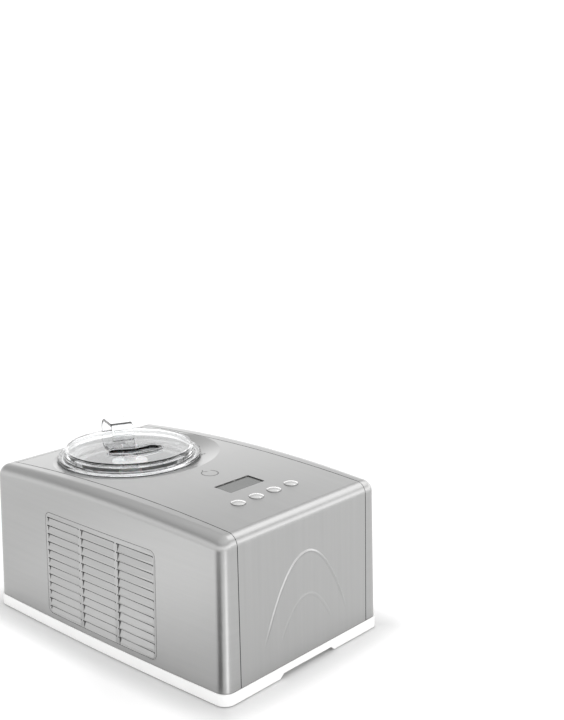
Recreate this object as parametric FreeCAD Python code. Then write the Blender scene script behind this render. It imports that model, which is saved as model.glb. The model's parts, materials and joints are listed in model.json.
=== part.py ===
import FreeCAD, Part
import functools
import math
import os

Vector = FreeCAD.Vector

# Housing form. Millimetres, +Z up, +Y to the back, origin under the middle of the base.
length = 425.0
width = 285.0
side_bow = 3.9            # how far each long side bows outwards in plan
wall_lean = 0.016         # inward lean of every wall per millimetre of height
crown_rise = 6.2          # highest point of the top sheet above the collar
crown_y = -12.0
crown_radius = 2500.0     # arc of the top sheet along Y
shoulder_radius = 15.0    # long top edges
end_round = 14.0          # edge round the front face and the back face
sheet = 1.2
seam_setback = 29.5       # joint between the centre sheet and a side shell, from the side
seam_gap = 0.8
back_split = 22.0         # depth of the back panel, with its rounded edge

# Base tray and feet
base_height = 15.6
base_ledge = 0.8          # base beyond the steel
base_corner = 14.0
skirt_wall = 2.6
skirt_lift = 1.5          # feet below the skirt
deck_top = 13.0
deck_thickness = 3.0
lip_height = 6.0
lip_wall = 2.2
lip_gap = 0.3
notch_half = 43.0         # raised middle of the front and back skirt
notch_height = 5.0
notch_slope = 6.0
foot_radius = 10.0
foot_inset = 26.0         # foot centre from the outer walls

# Louvre panels in the side shells
louvre_y = -1.5
louvre_length = 203.0
louvre_low = 22.0
louvre_high = 156.5
louvre_corner = 9.0
louvre_thickness = 3.0
louvre_gap = 0.5
louvre_rows = 12
louvre_columns = 3
louvre_pitch = 10.7
louvre_top_row = 150.0
louvre_cell = 60.0
louvre_post = 6.5         # between two columns
louvre_depth = 2.0
louvre_slot = 1.8
vent_rows = 5
vent_pitch = 12.0
vent_length = 90.0
vent_height = 4.0
vent_corner = 1.8
vent_low = 100.0

# Well and collar
well_setback = 114.5      # middle of the well from the back end
well_lift = 9.4           # floor of the well above the gearbox
collar_radius = 89.0
collar_wall = 2.5
collar_rise = 11.8        # top of the collar above its upper ledge
collar_edge = 1.0
ledge_one_radius = 79.4
ledge_step = 5.0          # upper ledge above the one that carries the bowl
collar_sheet = 2.0
well_radius = 68.4
well_wall = 1.0
dish_drop = 0.6           # dish floor below the collar's top
dish_radius = 94.5
dish_slope = 0.27
fit_gap = 0.3             # between pieces that pass each other
loose_gap = 0.6           # between pieces that lift apart
run_gap = 0.05            # radial running clearance

# Refrigeration jacket and foam round the well
jacket_wall = 0.8
jacket_channels = 9
jacket_channel_radius = 3.2
jacket_gap = 0.2
foam_radius = 86.0
foam_gap = 0.4
foam_top_gap = 2.0

# Drive
shaft_radius = 5.0
shaft_below_rim = 1.0
shaft_square = 7.0        # driving end, across flats
shaft_square_length = 10.0
gear_module = 1.5
gear_pressure = 25.0
gear_addendum = 0.85
gear_dedendum = 1.2
gear_backlash = 0.35
gear_mesh_gap = 0.15      # added to the centre distance
gear_face = 8.0
output_teeth = 60
idler_teeth = 40
pinion_teeth = 14
flank_steps = 4
gearbox_wall = 2.5
gearbox_floor = 2.5
gearbox_depth = 17.0
gearbox_lid = 3.0
gear_rim_room = 4.0
idler_axle_radius = 4.0
bush_radius = 8.0
bush_flange = 1.2
motor_radius = 26.0
motor_height = 62.0
motor_bevel = 1.5
motor_shaft_radius = 3.0
motor_shaft_depth = 20.0
motor_boss_radius = 9.0
motor_boss_height = 4.0
seal_radius = 9.0

# Bowl, central tube and bail
bowl_height = 140.0
bowl_rim_radius = 73.0
bowl_rim = 3.0
bowl_rim_edge = 1.2
bowl_top_radius = 67.0
bowl_foot_radius = 63.5
bowl_round = 11.0
bowl_wall = 1.6
tube_radius = 11.0
tube_bore_gap = 0.4
tube_below_rim = 10.0
tube_spigot = 7.5
bail_angle = -48.0        # direction of the bail's pivot line
bail_radius = 71.0
bail_wire = 1.5
bail_rise = 5.5           # pivot above the rim's top
bail_knob = 2.4
bail_knob_length = 2.6
ear_thickness = 1.6
ear_half_angle = 3.0
ear_top = 3.4             # ear above the pivot
ear_gap = 0.3

# Paddle and its cap
stem_radius = 15.5
stem_bore_gap = 0.4
stem_floor_gap = 1.5
stem_head = 2.2           # closed top above the shaft's end
neck_radius = 12.5
neck_height = 7.2
cap_radius = 23.5
cap_disc = 2.6
cap_cone = 2.4
knob_radius = 8.0
knob_height = 6.5
knob_edge = 2.0
thrust_gap = 0.3
paddle_angle = -22.0      # direction of the arms
paddle_reach = 60.5
blade_width = 20.0
blade_thickness = 3.4
blade_turn = 38.0         # blade against its arm, in plan
blade_edge = 1.3
blade_foot = 8.0
blade_height = 84.0
arm_height = 8.0
arm_thickness = 5.0
scoop_depth = 16.0
scoop_height = 12.0
fin_length = 42.0
fin_reach = 9.0
fin_thickness = 3.4
fin_low = 16.0
fin_angle = -60.0

# Lid and handle
lid_radius = 93.5
lid_rim = 3.0
lid_wall = 3.0
lid_plateau_radius = 85.5
lid_height = 14.0         # plateau above the collar's top
lid_skirt = 7.0
lid_skirt_wall = 2.8
lid_edge = 1.0
lid_bevel = 3.0
lid_lugs = 3
lug_width = 9.0
lug_reach = 2.4
hub_wall = 3.0
fill_place = 33.0         # middle of the kidney-shaped opening, from the lid's middle
fill_arc = 52.0           # the kidney's middle line
fill_half_width = 12.0
fill_half_angle = 28.0
fill_lip = 2.0
fill_lip_rise = 2.2
handle_angle = 67.0
handle_start = 22.0
handle_end = 78.0
handle_rise = 21.0
handle_width = 30.0
handle_thickness = 4.2
handle_round = 14.0
handle_edge = 1.4

# Control panel
window_length = 59.0
window_width = 28.0
window_setback = 108.7     # middle of the window from the front end
window_corner = 1.5
window_thickness = 2.2
window_sunk = 1.2
window_gap = 0.3
button_setback = 66.5
button_pitch = 30.6
button_count = 4
button_radius = 8.8
button_gap = 0.3
button_proud = 0.8
button_dome = 2.0
button_flange = 1.0
button_flange_sheet = 1.5
button_flange_drop = 5.0
button_stem = 4.0
button_travel = 1.2
button_slack = 0.1
switch_side = 6.0
switch_height = 2.0
board_thickness = 1.6
board_drop = 14.0         # board below the sheet at the buttons
board_half = 66.0
board_front_margin = 20.0  # board beyond the line of buttons
board_back_margin = 23.5  # board beyond the middle of the window
post_radius = 3.0
post_inset = 6.0
module_margin = 2.5

# Compressor
compressor_side = 76.5    # middle of the compressor from the right side
compressor_gap = 5.7      # between its plate and the gearbox
compressor_radius = 46.0
compressor_height = 116.0
compressor_dome = 24.0
compressor_cap_radius = 20.0
compressor_plate_side = 100.0
compressor_plate_sheet = 2.5
grommet_radius = 8.0
grommet_height = 8.0
grommet_inset = 11.0
terminal_width = 34.0
terminal_depth = 18.0
terminal_height = 40.0
terminal_low = 60.0

# Condenser and fan, behind the left louvres
condenser_side = 22.5     # middle of the condenser from the left side
condenser_depth = 22.0
condenser_front = -98.0
condenser_back = -2.0
condenser_low = 30.0
condenser_high = 150.0
fin_count = 20
fin_sheet = 0.8
pass_count = 8
pass_pitch = 14.0
pass_low = 41.0
pass_radius = 3.5
pass_stub = 8.0
fan_gap = 0.5
fan_frame_depth = 20.0
fan_radius = 42.0
fan_tip_gap = 2.0
fan_z = 88.0
fan_hub_radius = 16.0
fan_hub_depth = 12.0
fan_blades = 7
fan_blade_sheet = 1.8
fan_chord = 10.8
fan_cap = 2.0             # closed outer end of the hub
fan_pitch = 35.0
fan_motor_radius = 13.0
fan_motor_depth = 16.0
fan_shaft_radius = 2.0
fan_strut = 5.0
fan_frame_margin = 5.0

# Refrigerant lines
line_bend = 12.0
line_share = 0.48         # most of a run that one bend may take
discharge_radius = 3.0
liquid_radius = 3.0
capillary_radius = 1.2
suction_radius = 4.0
line_gap = 0.2
line_rise = 22.5          # discharge line above the compressor
line_step = 14.0          # capillary below the discharge line
line_offset = 8.0         # of the lines from the middle, where they reach the well
suction_drop = 6.5        # suction line below the compressor's dome
line_setback = 62.5       # drier from the front end
drier_x = -60.0
drier_radius = 8.0
drier_low = 54.0
drier_length = 56.0
drier_taper = 8.0

# Power board
power_gap = 3.0           # between the board and the compressor's plate
power_setback = 54.5
power_width = 62.0
power_length = 76.0
power_lift = 10.0
standoff_radius = 3.5
transformer_side = 30.0
transformer_height = 24.0
capacitor_radius = 7.0
capacitor_height = 22.0
relay_length = 20.0
relay_width = 16.0
relay_height = 15.0
power_margin = 5.0

# Mains inlet in the back panel
inlet_x = 82.0
inlet_z = 42.0
inlet_width = 27.0
inlet_height = 20.0
inlet_depth = 22.0
inlet_flange = 6.0
inlet_flange_sheet = 1.1
inlet_wall = 1.6
inlet_socket = 15.0
inlet_corner = 3.0
pin_width = 2.0
pin_height = 4.0
pin_length = 9.0
pin_pitch = 7.0
pin_rise = 2.0

# Brackets and screws
bracket_setback = 62.5    # brackets from the ends
bracket_width = 22.0
bracket_height = 46.0
bracket_sheet = 2.0
bracket_gap = 0.05
bracket_reach = 9.6       # foot on each side of its screw
screw_radius = 1.9
screw_head_radius = 3.6
screw_head = 2.4
screw_length = 9.0
screw_gap = 0.05

far = 2.0 * length        # longer than any piece, for cutting tools
along = 0.9               # cosine above which an edge counts as running along an axis

# Heights and places that follow from the sizes above
gearbox_top = deck_top + gearbox_depth
cover_top = gearbox_top + gearbox_lid
well_floor = cover_top + well_lift
ledge_two = well_floor + loose_gap + bowl_height - bowl_rim
ledge_one = ledge_two + ledge_step
collar_top = ledge_one + collar_rise
crown_height = collar_top + crown_rise
seam_x = width / 2 - seam_setback
well_y = length / 2 - well_setback
bracket_y = length / 2 - bracket_setback
window_y = window_setback - length / 2
button_y = button_setback - length / 2


def box(x0, x1, y0, y1, z0, z1):
    return Part.makeBox(x1 - x0, y1 - y0, z1 - z0, Vector(x0, y0, z0))


def cylinder(radius, z0, z1, x=0.0, y=0.0):
    return Part.makeCylinder(radius, z1 - z0, Vector(x, y, z0))


def rod_x(radius, x0, x1, y, z):
    return Part.makeCylinder(radius, x1 - x0, Vector(x0, y, z), Vector(1, 0, 0))


def rod_y(radius, y0, y1, x, z):
    return Part.makeCylinder(radius, y1 - y0, Vector(x, y0, z), Vector(0, 1, 0))


def ring(outer, inner, z0, z1, x=0.0, y=0.0):
    return cylinder(outer, z0, z1, x, y).cut(cylinder(inner, z0, z1, x, y))


def rounded_box(corners, radius, axis):
    """A box whose edges along one axis are rounded."""
    block = box(*corners)
    edges = [e for e in block.Edges if abs(e.tangentAt(e.FirstParameter).dot(axis)) > along]
    return block.makeFillet(radius, edges)


def revolve(profile, x=0.0, y=0.0):
    """Turn a list of (radius, height) points about a vertical axis."""
    points = [Vector(r, 0, z) for r, z in profile]
    face = Part.Face(Part.makePolygon(points + points[:1]))
    body = face.revolve(Vector(0, 0, 0), Vector(0, 0, 1), 360)
    return body.translated(Vector(x, y, 0))


def extrude(points, direction):
    """A prism on a closed outline of vectors."""
    return Part.Face(Part.makePolygon(points + points[:1])).extrude(direction)


def turned(shape, angle, x=0.0, y=0.0):
    """A copy turned about a vertical line."""
    copy = shape.copy()
    copy.rotate(Vector(x, y, 0), Vector(0, 0, 1), angle)
    return copy


def fused(shapes):
    return shapes[0].fuse(shapes[1:]).removeSplitter()


def tube(points, radius):
    """A round line through the points, with its corners bent to the line's bend radius."""
    points = [Vector(*p) for p in points]
    edges = []
    start = points[0]
    for before, corner, after in zip(points, points[1:], points[2:]):
        back = (before - corner).normalize()
        on = (after - corner).normalize()
        turn = math.pi - back.getAngle(on)
        room = min((before - corner).Length, (after - corner).Length) * line_share
        reach = min(line_bend * math.tan(turn / 2), room)
        bend = reach / math.tan(turn / 2)
        middle = (back + on).normalize() * (bend / math.cos(turn / 2) - bend)
        first = corner + back * reach
        last = corner + on * reach
        edges.append(Part.LineSegment(start, first).toShape())
        edges.append(Part.Arc(first, corner + middle, last).toShape())
        start = last
    edges.append(Part.LineSegment(start, points[-1]).toShape())
    path = Part.Wire(edges)
    section = Part.Wire(Part.makeCircle(radius, points[0], points[1] - points[0]))
    return path.makePipeShell([section], True, False)


def mirrored(shape):
    return shape.mirror(Vector(0, 0, 0), Vector(1, 0, 0))


def half_width(z, inset=0.0):
    """Half the steel housing's width at mid length."""
    return width / 2 - base_ledge - wall_lean * z - inset


def half_length(z, inset=0.0):
    return length / 2 - base_ledge - wall_lean * z - inset


def top_at(y, inset=0.0):
    """Height of the top sheet at a place along the middle."""
    radius = crown_radius - inset
    return crown_height - crown_radius + math.sqrt(radius ** 2 - (y - crown_y) ** 2)


def side_at(y, z):
    """Distance of the side shell's outer face from the middle."""
    return half_width(z) - side_bow * (y / half_length(z)) ** 2


def plan_outline(half_x, half_y, z):
    """A rectangle in plan whose long sides bow outwards."""
    end_x = half_x - side_bow
    corners = [Vector(-end_x, -half_y, z), Vector(-end_x, half_y, z)]
    corners += [Vector(end_x, half_y, z), Vector(end_x, -half_y, z)]
    edges = [
        Part.Arc(corners[0], Vector(-half_x, 0, z), corners[1]).toShape(),
        Part.LineSegment(corners[1], corners[2]).toShape(),
        Part.Arc(corners[2], Vector(half_x, 0, z), corners[3]).toShape(),
        Part.LineSegment(corners[3], corners[0]).toShape(),
    ]
    return Part.Wire(edges)


@functools.lru_cache(maxsize=None)
def housing_form(inset, low):
    """The housing's closed outer form, moved inwards by inset, from the height low up."""
    high = crown_height + shoulder_radius
    outlines = [plan_outline(half_width(z, inset), half_length(z, inset), z) for z in (low, high)]
    walls = Part.makeLoft(outlines, True, True)
    axis_z = crown_height - crown_radius
    crown = rod_x(crown_radius - inset, -width, width, crown_y, axis_z)
    form = walls.common(crown)
    mid_height = (low + crown_height) / 2
    shoulders = [e for e in form.Edges
                 if e.BoundBox.ZMin > mid_height and e.BoundBox.YLength > length / 2]
    form = form.makeFillet(shoulder_radius - inset, shoulders)
    end_y = half_length(crown_height, inset) - end_round
    rim = [e for e in form.Edges
           if e.BoundBox.ZMax > mid_height and (e.BoundBox.YMax < -end_y or e.BoundBox.YMin > end_y)]
    return form.makeFillet(end_round - inset, rim)


def dish_tool(drop):
    """The space of the shallow dish that is pressed into the top round the collar."""
    floor = collar_top - dish_drop - drop
    profile = [(0, floor), (dish_radius, floor), (dish_radius + far, floor + far * dish_slope)]
    profile += [(dish_radius + far, floor + far), (0, floor + far)]
    return revolve(profile, 0, well_y)


def window_tool(margin, z0, z1):
    half_x = window_length / 2 + margin
    half_y = window_width / 2 + margin
    corners = (-half_x, half_x, window_y - half_y, window_y + half_y, z0, z1)
    return rounded_box(corners, window_corner + margin, Vector(0, 0, 1))


def button_x(index):
    return (index - (button_count - 1) / 2) * button_pitch


def louvre_tool(margin):
    """A rounded window through the side wall at -X."""
    half = louvre_length / 2 - margin
    corners = (-width, -seam_x, louvre_y - half, louvre_y + half, louvre_low + margin, louvre_high - margin)
    return rounded_box(corners, louvre_corner - margin, Vector(1, 0, 0))


def make_shells():
    """Side shells, centre sheet, back panel and louvre panels, all cut from the same form."""
    outer = housing_form(0.0, base_height)
    inner = housing_form(sheet, base_height - sheet)
    wall = outer.cut(inner)
    edge = seam_x + seam_gap / 2
    left = wall.common(box(-far, -edge, -far, far, 0, far)).cut(louvre_tool(0.0))

    dished = outer.cut(dish_tool(0.0)).cut(inner.cut(dish_tool(sheet)))
    edge = seam_x - seam_gap / 2
    split = length / 2 - back_split
    cover = dished.common(box(-edge, edge, -far, split - seam_gap / 2, 0, far))
    holes = [cylinder(collar_radius + fit_gap, 0, far, 0, well_y), window_tool(window_gap, base_height, far)]
    for index in range(button_count):
        holes.append(cylinder(button_radius + button_gap, base_height, far, button_x(index), button_y))
    cover = cover.cut(holes)

    zone = box(-edge, edge, split + seam_gap / 2, far, 0, far)
    back = outer.common(zone).cut(inner.common(zone))
    back = back.cut(cylinder(collar_radius + fit_gap, 0, far, 0, well_y))
    vents = []
    for row in range(vent_rows):
        z = vent_low + row * vent_pitch
        corners = (-vent_length / 2, vent_length / 2, split, far, z, z + vent_height)
        vents.append(rounded_box(corners, vent_corner, Vector(0, 1, 0)))
    half_x = inlet_width / 2 + fit_gap
    half_z = inlet_height / 2 + fit_gap
    corners = (inlet_x - half_x, inlet_x + half_x, split, far, inlet_z - half_z, inlet_z + half_z)
    back = back.cut(vents + [rounded_box(corners, inlet_corner, Vector(0, 1, 0))])

    plate = outer.cut(housing_form(louvre_thickness, base_height - sheet)).common(louvre_tool(louvre_gap))
    plate = plate.cut(louvre_cuts())
    return {
        "left_side_shell": left,
        "right_side_shell": mirrored(left),
        "left_louvre_panel": plate,
        "right_louvre_panel": mirrored(plate),
        "top_front_cover": cover,
        "back_panel": back,
    }


def louvre_cuts():
    """Sloping recesses, each with a slot under the edge of the slat above it."""
    cuts = []
    for row in range(louvre_rows):
        high = louvre_top_row - row * louvre_pitch
        low = high - louvre_pitch + louvre_slot / 2
        for column in range(louvre_columns):
            y = louvre_y + (column - (louvre_columns - 1) / 2) * (louvre_cell + louvre_post)
            y0 = y - louvre_cell / 2
            face_low = -side_at(y, low)
            face_high = -side_at(y, high)
            outline = [Vector(face_low, y0, low), Vector(face_high + louvre_depth, y0, high)]
            outline += [Vector(face_high - louvre_thickness, y0, high)]
            outline += [Vector(face_low - louvre_thickness, y0, low)]
            cuts.append(extrude(outline, Vector(0, louvre_cell, 0)))
            cuts.append(box(face_high - louvre_thickness, face_high + 2 * louvre_thickness,
                            y0, y0 + louvre_cell, high - louvre_slot, high))
    return cuts


def base_block(inset, z0, z1):
    """The base's outer form between two heights, moved inwards by inset."""
    outline = plan_outline(width / 2 - inset, length / 2 - inset, z0)
    block = Part.Face(outline).extrude(Vector(0, 0, z1 - z0))
    upright = [e for e in block.Edges if e.BoundBox.ZLength > (z1 - z0) / 2]
    return block.makeFillet(base_corner - inset, upright)


def foot_places():
    x = width / 2 - foot_inset
    y = length / 2 - foot_inset
    return [(-x, -y), (x, -y), (-x, y), (x, y)]


def bracket_places():
    """Screw centres of the corner brackets."""
    x = side_at(bracket_y, deck_top) - sheet - bracket_sheet - bracket_reach
    return [(-x, -bracket_y), (x, -bracket_y), (-x, bracket_y), (x, bracket_y)]


def make_base():
    deck_low = deck_top - deck_thickness
    tray = base_block(0.0, skirt_lift, base_height)
    tray = tray.cut(base_block(skirt_wall, skirt_lift, deck_low))
    rim = skirt_wall + lip_gap
    tray = tray.cut(base_block(rim, deck_top, base_height))
    lip_top = base_height + lip_height
    inset = sheet + lip_gap
    lip = housing_form(inset, deck_top).cut(housing_form(inset + lip_wall, deck_top))
    lip = lip.common(box(-far, far, -far, far, deck_top, lip_top))
    tray = fused([tray, lip])
    notch_top = skirt_lift + notch_height
    notch_foot = notch_half + notch_slope
    notch = [Vector(-notch_foot, -far, skirt_lift), Vector(-notch_half, -far, notch_top)]
    notch += [Vector(notch_half, -far, notch_top), Vector(notch_foot, -far, skirt_lift)]
    tray = tray.cut(extrude(notch, Vector(0, 2 * far, 0)))
    holes = [cylinder(screw_radius + screw_gap, deck_low, deck_top, x, y) for x, y in bracket_places()]
    tray = tray.cut(holes)
    feet = [cylinder(foot_radius, 0, deck_low, x, y) for x, y in foot_places()]

    strip = housing_form(sheet + bracket_gap, deck_top)
    strip = strip.cut(housing_form(sheet + bracket_gap + bracket_sheet, deck_top))
    brackets = []
    screws = []
    lip_inner = sheet + lip_gap + lip_wall + bracket_gap
    for x, y in bracket_places():
        side = math.copysign(1.0, x)
        reach = [side * (abs(x) - bracket_reach), side * far]
        zone = (min(reach), max(reach), y - bracket_width / 2, y + bracket_width / 2)
        upright = strip.common(box(*zone, lip_top + lip_gap, lip_top + bracket_height))
        clear = housing_form(lip_inner, deck_top).common(box(*zone, deck_top, lip_top + bracket_height))
        leg = clear.cut(housing_form(lip_inner + bracket_sheet, deck_top))
        foot = clear.common(box(*zone, deck_top, deck_top + bracket_sheet))
        shelf_z = lip_top + lip_gap
        shelf = housing_form(sheet + bracket_gap, deck_top)
        shelf = shelf.common(box(*zone, shelf_z, shelf_z + bracket_sheet))
        shelf = shelf.cut(housing_form(lip_inner + bracket_sheet, deck_top))
        leg = leg.common(box(*zone, deck_top, shelf_z + bracket_sheet))
        bracket = fused([upright, shelf, leg, foot])
        brackets.append(bracket.cut(cylinder(screw_radius + screw_gap, deck_low, lip_top, x, y)))
        head = cylinder(screw_head_radius, deck_low - screw_head, deck_low, x, y)
        screws.append(fused([head, cylinder(screw_radius, deck_low, deck_low + screw_length, x, y)]))
    return {
        "base_tray": tray,
        "rubber_feet": Part.makeCompound(feet),
        "corner_brackets": Part.makeCompound(brackets),
        "case_screws": Part.makeCompound(screws),
    }


can_bottom = well_floor - well_wall
can_top = ledge_two - collar_sheet
rim_top = ledge_two + bowl_rim
shaft_top = rim_top - shaft_below_rim


def make_well():
    """Collar, can, evaporator jacket, foam and the seal round the shaft."""
    inner = collar_radius - collar_wall
    low_one = ledge_one - collar_sheet
    profile = [(collar_radius, collar_top - collar_edge), (collar_radius - collar_edge, collar_top)]
    profile += [(inner + collar_edge, collar_top), (inner, collar_top - collar_edge)]
    profile += [(inner, ledge_one), (ledge_one_radius, ledge_one), (ledge_one_radius, ledge_two)]
    profile += [(well_radius, ledge_two), (well_radius, can_top)]
    profile += [(ledge_one_radius + collar_sheet, can_top), (ledge_one_radius + collar_sheet, low_one)]
    profile += [(collar_radius, low_one)]
    collar = revolve(profile, 0, well_y)

    can_radius = well_radius + well_wall
    can = cylinder(can_radius, can_bottom, can_top, 0, well_y)
    can = can.cut(cylinder(well_radius, well_floor, can_top, 0, well_y))
    can = can.cut(cylinder(seal_radius, can_bottom, well_floor, 0, well_y))

    sleeve_in = can_radius + jacket_gap
    sleeve_out = sleeve_in + jacket_wall
    low = well_floor + jacket_channel_radius * 2
    high = can_top - foam_top_gap - jacket_channel_radius * 2
    pitch = (high - low) / (jacket_channels - 1)
    jacket = ring(sleeve_out, sleeve_in, well_floor, can_top - foam_top_gap, 0, well_y)
    channels = []
    for index in range(jacket_channels):
        z = low + index * pitch
        channel = Part.makeTorus(sleeve_out, jacket_channel_radius, Vector(0, well_y, z))
        core = cylinder(sleeve_out - jacket_wall / 2, z - pitch / 2, z + pitch / 2, 0, well_y)
        channels.append(channel.cut(core))
    jacket = fused([jacket] + channels)

    hollow = sleeve_out + jacket_channel_radius + foam_gap
    foam = cylinder(foam_radius, cover_top, can_top - foam_top_gap, 0, well_y)
    foam = foam.cut(cylinder(hollow, can_bottom, can_top, 0, well_y))
    foam = foam.cut(cylinder(seal_radius + fit_gap, cover_top, can_bottom, 0, well_y))
    entry_y = well_y - foam_radius
    ways = []
    lines = ((-line_offset, capillary_z, capillary_radius), (line_offset, suction_z, suction_radius))
    for x, z, radius in lines:
        ways.append(rod_y(radius + line_gap, entry_y - foam_gap, well_y, x, z))
    foam = foam.cut(ways)

    seal = ring(seal_radius, shaft_radius + run_gap, cover_top + bush_flange + fit_gap, well_floor, 0, well_y)
    seal = fused([seal, ring(seal_radius - well_wall, shaft_radius + run_gap, well_floor,
                             well_floor + fit_gap, 0, well_y)])
    return {
        "collar_ring": collar,
        "well_can": can,
        "evaporator_jacket": jacket,
        "insulation_block": foam,
        "shaft_seal": seal,
    }


def pitch_radius(teeth):
    return gear_module * teeth / 2


def gear(teeth, z0, z1, bore, place, phase):
    """An involute spur gear. phase is the direction of one tooth's middle, in radians."""
    pitch = pitch_radius(teeth)
    pressure = math.radians(gear_pressure)
    base = pitch * math.cos(pressure)
    tip = pitch + gear_addendum * gear_module
    root = pitch - gear_dedendum * gear_module

    def involute(radius):
        angle = math.acos(min(1.0, base / radius))
        return math.tan(angle) - angle

    half = math.pi / (2 * teeth) - gear_backlash / (2 * pitch) + involute(pitch)
    start = max(base, root)
    radii = [start + (tip - start) * step / flank_steps for step in range(flank_steps + 1)]
    side = [(root, half - involute(start))] if root < start else []
    side += [(radius, half - involute(radius)) for radius in radii]
    points = []
    for tooth in range(teeth):
        middle = phase + 2 * math.pi * tooth / teeth
        flank = [(r, middle - a) for r, a in side] + [(r, middle + a) for r, a in reversed(side)]
        points += [Vector(place[0] + r * math.cos(a), place[1] + r * math.sin(a), z0) for r, a in flank]
    blank = extrude(points, Vector(0, 0, z1 - z0))
    return blank.cut(cylinder(bore, z0, z1, *place))


def meshed_phase(teeth, phase, direction, next_teeth):
    """Phase of the next gear, so that one of its gaps meets the first gear's tooth."""
    offset = (phase - direction) * teeth / next_teeth
    return direction + math.pi + math.pi / next_teeth - offset


idler_y = well_y - pitch_radius(output_teeth + idler_teeth) - gear_mesh_gap
pinion_y = idler_y - pitch_radius(idler_teeth + pinion_teeth) - gear_mesh_gap
gearbox_front = pinion_y - pitch_radius(pinion_teeth) - gear_module - gear_rim_room - gearbox_wall


def make_drive():
    towards_front = -math.pi / 2
    output_phase = towards_front
    idler_phase = meshed_phase(output_teeth, output_phase, towards_front, idler_teeth)
    pinion_phase = meshed_phase(idler_teeth, idler_phase, towards_front, pinion_teeth)
    floor = deck_top + gearbox_floor
    gear_low = floor + bush_flange + fit_gap
    gear_high = gear_low + gear_face

    tip = pitch_radius(output_teeth) + gear_module + gear_rim_room
    room = (-tip, tip, gearbox_front + gearbox_wall, well_y + tip)
    grown = [room[0] - gearbox_wall, room[1] + gearbox_wall, room[2] - gearbox_wall, room[3] + gearbox_wall]
    corner = gear_rim_room + gearbox_wall
    tub = rounded_box((*grown, deck_top, gearbox_top), corner, Vector(0, 0, 1))
    tub = tub.cut(rounded_box((*room, floor, gearbox_top), gear_rim_room, Vector(0, 0, 1)))
    tub = tub.cut([cylinder(bush_radius, deck_top, floor, 0, well_y),
                   cylinder(idler_axle_radius, deck_top, floor, 0, idler_y)])
    lid = rounded_box((*grown, gearbox_top, cover_top), corner, Vector(0, 0, 1))
    lid = lid.cut([cylinder(bush_radius, gearbox_top, cover_top, 0, well_y),
                   cylinder(idler_axle_radius, gearbox_top, cover_top, 0, idler_y),
                   cylinder(motor_boss_radius + fit_gap, gearbox_top, cover_top, 0, pinion_y)])

    bore = shaft_radius + run_gap
    low_bush = fused([ring(bush_radius, bore, deck_top, floor, 0, well_y),
                      ring(bush_radius + bush_flange, bore, floor, floor + bush_flange, 0, well_y)])
    high_bush = fused([ring(bush_radius, bore, gearbox_top, cover_top, 0, well_y),
                       ring(bush_radius - bush_flange, bore, cover_top, cover_top + bush_flange, 0, well_y)])

    square_low = shaft_top - shaft_square_length
    shaft = cylinder(shaft_radius, deck_top + fit_gap, square_low, 0, well_y)
    half = shaft_square / 2
    square = box(-half, half, well_y - half, well_y + half, square_low, shaft_top)
    square = turned(square, paddle_angle, 0, well_y)
    shaft = fused([shaft, square.common(cylinder(shaft_radius, square_low, shaft_top, 0, well_y))])

    boss_low = gearbox_top + gearbox_lid - motor_boss_height
    shaft_hole = cylinder(motor_shaft_radius + run_gap, boss_low, cover_top + motor_shaft_depth, 0, pinion_y)
    can = cylinder(motor_radius, cover_top, cover_top + motor_height, 0, pinion_y)
    top = [e for e in can.Edges if e.BoundBox.ZMin > cover_top]
    can = can.makeChamfer(motor_bevel, top)
    motor = fused([can, cylinder(motor_boss_radius, boss_low, cover_top, 0, pinion_y)]).cut(shaft_hole)
    pinion = gear(pinion_teeth, gear_low, gear_high, motor_shaft_radius, (0, pinion_y), pinion_phase)
    spindle = cylinder(motor_shaft_radius, gear_low, cover_top + motor_shaft_depth - fit_gap, 0, pinion_y)
    idler_bore = idler_axle_radius + run_gap
    return {
        "gearbox_housing": tub,
        "gearbox_cover": lid,
        "shaft_bushes": Part.makeCompound([low_bush, high_bush]),
        "drive_shaft": shaft,
        "output_gear": gear(output_teeth, gear_low, gear_high, shaft_radius, (0, well_y), output_phase),
        "idler_axle": cylinder(idler_axle_radius, deck_top, cover_top, 0, idler_y),
        "idler_gear": gear(idler_teeth, gear_low, gear_high, idler_bore, (0, idler_y), idler_phase),
        "motor_pinion": fused([pinion, spindle]),
        "drive_motor": motor,
    }


bowl_bottom = rim_top - bowl_height
tube_top = rim_top - tube_below_rim
bail_z = rim_top + bail_rise


def bowl_wire(inset, top):
    """Half section of the bowl's body: a tapered wall and a rounded foot."""
    low = bowl_bottom + inset
    foot = bowl_foot_radius - inset
    bend = bowl_round - inset
    middle = low + bend
    diagonal = bend * math.sqrt(0.5)
    wall_top = Vector(bowl_top_radius - inset, 0, ledge_two)
    edges = [
        Part.LineSegment(Vector(0, 0, low), Vector(foot - bend, 0, low)).toShape(),
        Part.Arc(Vector(foot - bend, 0, low), Vector(foot - bend + diagonal, 0, middle - diagonal),
                 Vector(foot, 0, middle)).toShape(),
        Part.LineSegment(Vector(foot, 0, middle), wall_top).toShape(),
        Part.LineSegment(wall_top, Vector(bowl_top_radius - inset, 0, top)).toShape(),
        Part.LineSegment(Vector(bowl_top_radius - inset, 0, top), Vector(0, 0, top)).toShape(),
        Part.LineSegment(Vector(0, 0, top), Vector(0, 0, low)).toShape(),
    ]
    section = Part.Face(Part.Wire(edges))
    return section.revolve(Vector(0, 0, 0), Vector(0, 0, 1), 360).translated(Vector(0, well_y, 0))


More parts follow.
